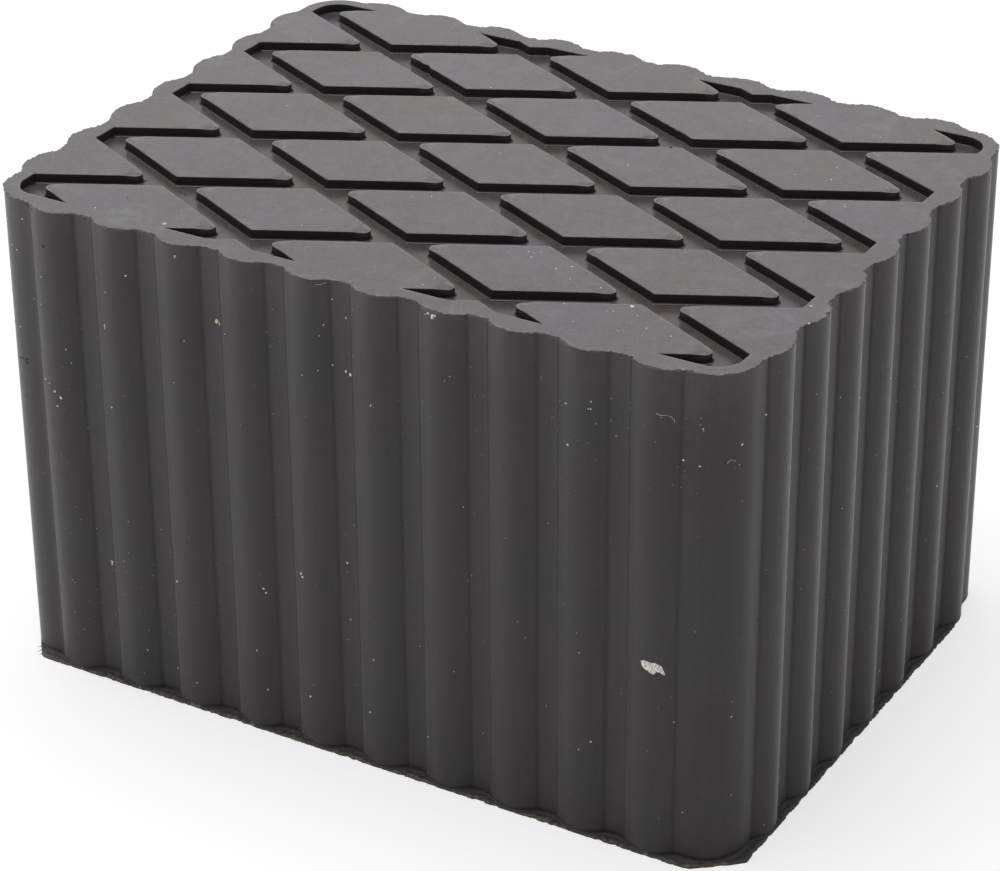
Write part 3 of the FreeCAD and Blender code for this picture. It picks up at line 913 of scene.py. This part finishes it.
def torn_material():
    """The torn flash: near-black, the cut rubber's colour and painted shade in the crevice, with a
    pale film where the mesh's film value is high.
    """
    n = Nodes("torn_flash")
    where = n.millimetres()
    torn = n.noise(where, 1.3, 4, 0.7)
    film = n.math("MULTIPLY", n.attribute("film"), n.ramp(torn, 0.42, 0.60, 0.08, 1.0))
    n.feed(n.shader, "Base Color", n.mix(film, TORN_DARK_AND_SHADE, TORN_PALE))
    n.feed(n.shader, "Roughness", 0.6)
    n.bump(torn, strength=0.8, distance=0.4)
    return n.material


def plain_material(name, colour, roughness, specular=0.5):
    n = Nodes(name)
    n.feed(n.shader, "Base Color", colour)
    n.feed(n.shader, "Roughness", roughness)
    n.feed(n.shader, "Specular IOR Level", specular)
    return n.material


def floor_material():
    """A pale floor, seen by the camera as nearly white, and still with the block's shadow."""
    n = Nodes("pale_floor")
    seen = n.add("LightPath", output="Is Camera Ray")
    n.feed(n.shader, "Base Color", n.mix(seen, FLOOR_LIT, FLOOR_SEEN))
    n.feed(n.shader, "Emission Color", (1, 1, 1, 1))
    n.feed(n.shader, "Emission Strength", n.math("MULTIPLY", seen, FLOOR_GLOW))
    n.feed(n.shader, "Roughness", 0.9)
    n.feed(n.shader, "Specular IOR Level", 0.0)
    return n.material


block = build_block()
for made in (                               # in the order of RUBBER to CREASE
    rubber_material(),
    crumb_material("pale_crumb", (0.48, 0.46, 0.40, 1), (0.93, 0.91, 0.85, 1)),
    torn_material(),
    crumb_material("tan_crumb", (0.58, 0.38, 0.24, 1), (0.93, 0.84, 0.72, 1)),
    # Near-black flat spots for the pits and strands for the nick: painted shade of hollows
    plain_material("pit_and_nick_shade", (0.005, 0.004, 0.004, 1), 0.8),
    crumb_material("pale_dust", (0.12, 0.115, 0.11, 1), (0.34, 0.33, 0.31, 1)),
    # Near-black groove walls that reflect little: painted shade
    plain_material("groove_wall_shade", (0.007, 0.0055, 0.005, 1), 0.7, 0.22),
    # Darker crease line without sheen on the ribs' left feet: painted shade
    plain_material("rib_crease_shade", (0.0445, 0.040, 0.0404, 1), 0.7, 0.3),
):
    block.data.materials.append(made)
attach(block, "root")
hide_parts("rubber_pad")

# Floor, in metres, a little below the block's foot
FLOOR_SIZE, FLOOR_LEVEL = 6.0, -0.05 * MM
floor_mesh = bpy.data.meshes.new("floor")
floor_mesh.from_pydata(
    [(x * FLOOR_SIZE, y * FLOOR_SIZE, FLOOR_LEVEL)
     for x, y in ((-1, -1), (1, -1), (1, 1), (-1, 1))],
    [], [(0, 1, 2, 3)])
floor = bpy.data.objects.new("floor", floor_mesh)
bpy.context.scene.collection.objects.link(floor)
floor_mesh.materials.append(floor_material())

# Camera, fitted to the photograph: its place in metres, and the picture's three directions
CAMERA_LENS, SENSOR_WIDTH = 121.683, 36.0
CAMERA_PLACE = Vector((0.295125, -0.504051, 0.357154))
RIGHT = Vector((0.863215, 0.504801, -0.005956))
DOWN = Vector((0.235848, -0.413677, -0.879345))
FORWARD = Vector((-0.446358, 0.757659, -0.476148))
camera_data = bpy.data.cameras.new("camera")
camera_data.sensor_width = SENSOR_WIDTH
camera_data.lens = CAMERA_LENS
camera = bpy.data.objects.new("camera", camera_data)
bpy.context.scene.collection.objects.link(camera)
pose = Matrix((RIGHT, -DOWN, -FORWARD)).transposed().to_4x4()
pose.translation = CAMERA_PLACE
camera.matrix_world = pose
bpy.context.scene.camera = camera


def add_lamp(name, kind, energy, where, target):
    """A lamp at a place, turned to a target."""
    data = bpy.data.lights.new(name, kind)
    data.energy = energy
    lamp = bpy.data.objects.new(name, data)
    bpy.context.scene.collection.objects.link(lamp)
    lamp.location = where
    lamp.rotation_euler = (Vector(where) - Vector(target)).to_track_quat("Z", "Y").to_euler()
    return data


# Light: a wide soft sky from above, a low soft light from the left, and a pale world that the
# camera and reflections see as white
SKY_ENERGY, SKY_ANGLE = 2.0, math.radians(50)
LOW_ENERGY, LOW_SIZE = 0.85, (0.7, 0.08)
WORLD_LIT, WORLD_SEEN = 0.28, 1.0
sky = add_lamp("sky", "SUN", SKY_ENERGY, (-0.2, 0.05, 1.1), (0, 0, 0))
sky.angle = SKY_ANGLE
low = add_lamp("low", "AREA", LOW_ENERGY, (-0.51, -0.36, 0.045), (0, -0.06, 0.045))
low.shape = "RECTANGLE"
low.size, low.size_y = LOW_SIZE

world = bpy.data.worlds.new("world")
bpy.context.scene.world = world
world.use_nodes = True
background = world.node_tree.nodes["Background"]
light_path = world.node_tree.nodes.new("ShaderNodeLightPath")
seen = world.node_tree.nodes.new("ShaderNodeMath")
seen.operation = "MAXIMUM"
world.node_tree.links.new(light_path.outputs["Is Camera Ray"], seen.inputs[0])
world.node_tree.links.new(light_path.outputs["Is Glossy Ray"], seen.inputs[1])
strength = world.node_tree.nodes.new("ShaderNodeMapRange")
strength.inputs["To Min"].default_value = WORLD_LIT
strength.inputs["To Max"].default_value = WORLD_SEEN
world.node_tree.links.new(seen.outputs[0], strength.inputs["Value"])
world.node_tree.links.new(strength.outputs[0], background.inputs["Strength"])
background.inputs["Color"].default_value = (1, 1, 1, 1)

bpy.context.scene.view_settings.view_transform = "Standard"
